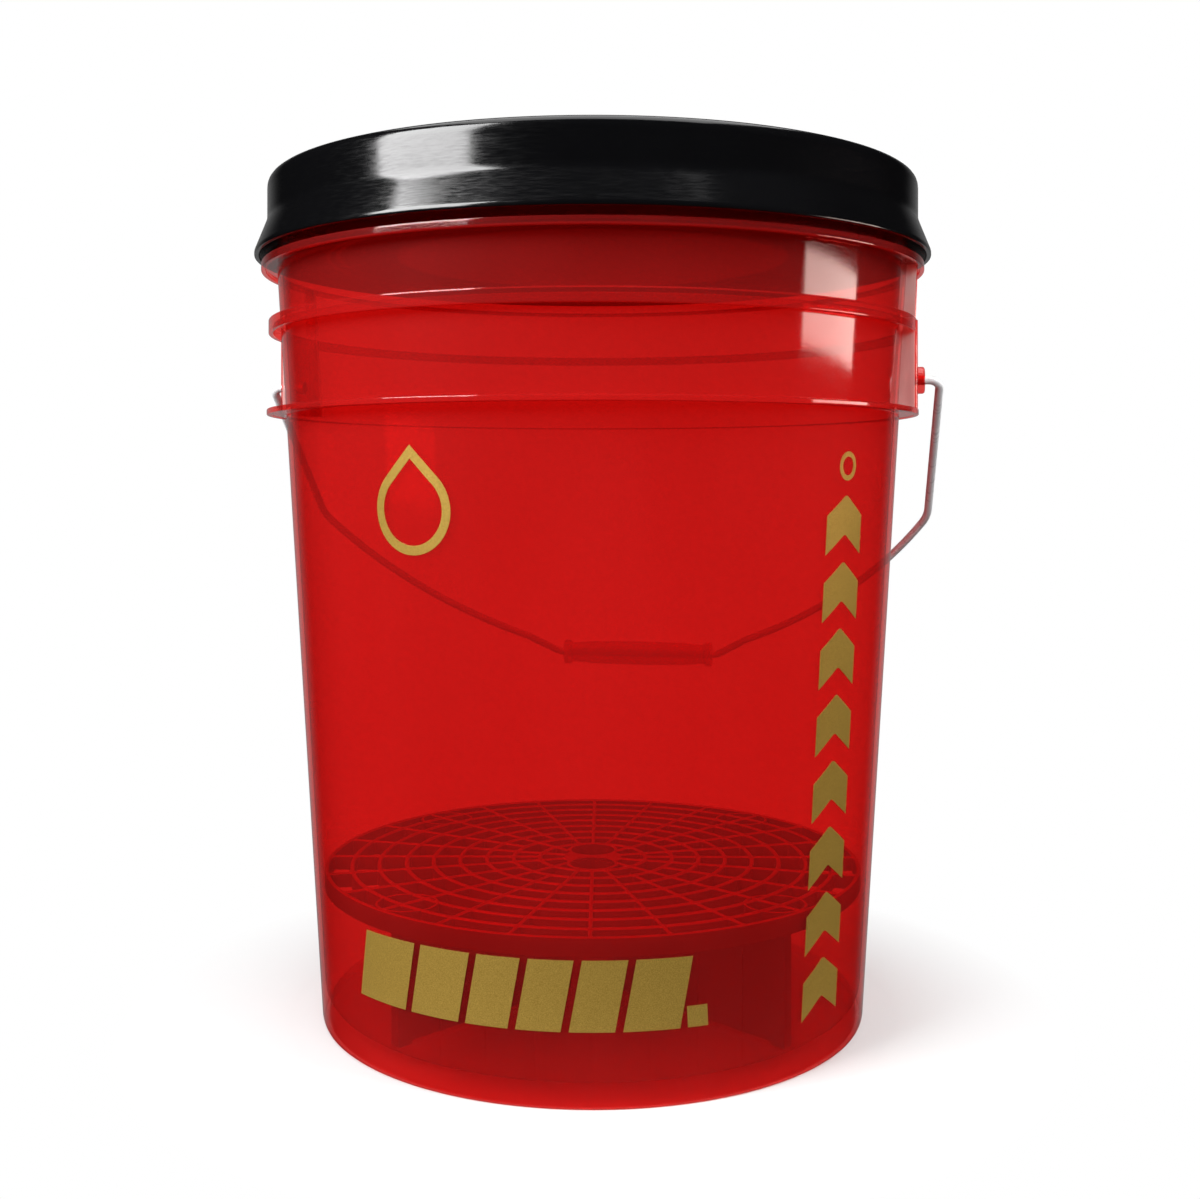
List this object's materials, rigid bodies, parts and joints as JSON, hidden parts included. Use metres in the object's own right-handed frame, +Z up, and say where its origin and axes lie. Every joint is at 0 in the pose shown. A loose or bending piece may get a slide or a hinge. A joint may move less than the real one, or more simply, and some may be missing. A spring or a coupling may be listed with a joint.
{
  "type": "wash bucket",
  "caption": "Tapered translucent wash bucket with a wire bail, a two-piece screw lid and a round grit guard that lifts out of its base.",
  "frame": {"origin": "centre of the base, on the surface that the bucket stands on", "axes": "+Z up the bucket's axis, +X through one of the bail's ears, +Y to the side where the bail rests"},
  "size_m": [0.3432, 0.331, 0.4038],
  "materials": {
    "red_plastic": "translucent, glossy",
    "lid_plastic": "glossy black",
    "guard_plastic": "satin moulded",
    "grip_plastic": "satin moulded",
    "steel_wire": "bright zinc-plated wire",
    "seal_rubber": "matt",
    "gold_film": "satin metallic gold film"
  },
  "bodies": {
    "pail": {"pail": "red_plastic", "vinyl_drop": "gold_film", "vinyl_tread_1": "gold_film", "vinyl_tread_2": "gold_film", "vinyl_tread_3": "gold_film", "vinyl_tread_4": "gold_film", "vinyl_tread_5": "gold_film", "vinyl_tread_6": "gold_film", "vinyl_tread_dot": "gold_film", "vinyl_chevron_1": "gold_film", "vinyl_chevron_2": "gold_film", "vinyl_chevron_3": "gold_film", "vinyl_chevron_4": "gold_film", "vinyl_chevron_5": "gold_film", "vinyl_chevron_6": "gold_film", "vinyl_chevron_7": "gold_film", "vinyl_chevron_8": "gold_film", "vinyl_ring": "gold_film"},
    "bail": {"bail_wire": "steel_wire"},
    "grip": {"bail_grip": "grip_plastic"},
    "guard": {"grit_guard": "guard_plastic"},
    "lid_ring": {"lid_ring": "lid_plastic", "rim_gasket": "seal_rubber"},
    "lid_seal": {"lid_o_ring": "seal_rubber"},
    "screw_lid": {"screw_lid": "lid_plastic"}
  },
  "joints": [
    {"name": "bail_swing", "type": "hinge", "parent": "pail", "child": "bail", "pos_m": [0, 0, 0.3075], "axis": [1, 0, 0], "range_deg": [0, 268]},
    {"name": "grip_spin", "type": "hinge", "parent": "bail", "child": "grip", "pos_m": [0, 0.14964, 0.15563], "axis": [1, 0, 0], "continuous": true},
    {"name": "guard_lift", "type": "slide", "parent": "pail", "child": "guard", "axis": [0, 0, 1], "range_m": [0, 0.27]},
    {"name": "ring_lift", "type": "slide", "parent": "pail", "child": "lid_ring", "axis": [0, 0, 1], "range_m": [0, 0.12]},
    {"name": "lid_rise", "type": "slide", "parent": "lid_ring", "child": "lid_seal", "axis": [0, 0, 1], "range_m": [0, 0.0121]},
    {"name": "lid_turn", "type": "hinge", "parent": "lid_seal", "child": "screw_lid", "pos_m": [0, 0, 0.385], "axis": [0, 0, 1], "range_deg": [0, 360]}
  ],
  "couplings": [
    {"joint": "lid_rise", "follows": "lid_turn", "m_per_rad": 0.0019099}
  ]
}
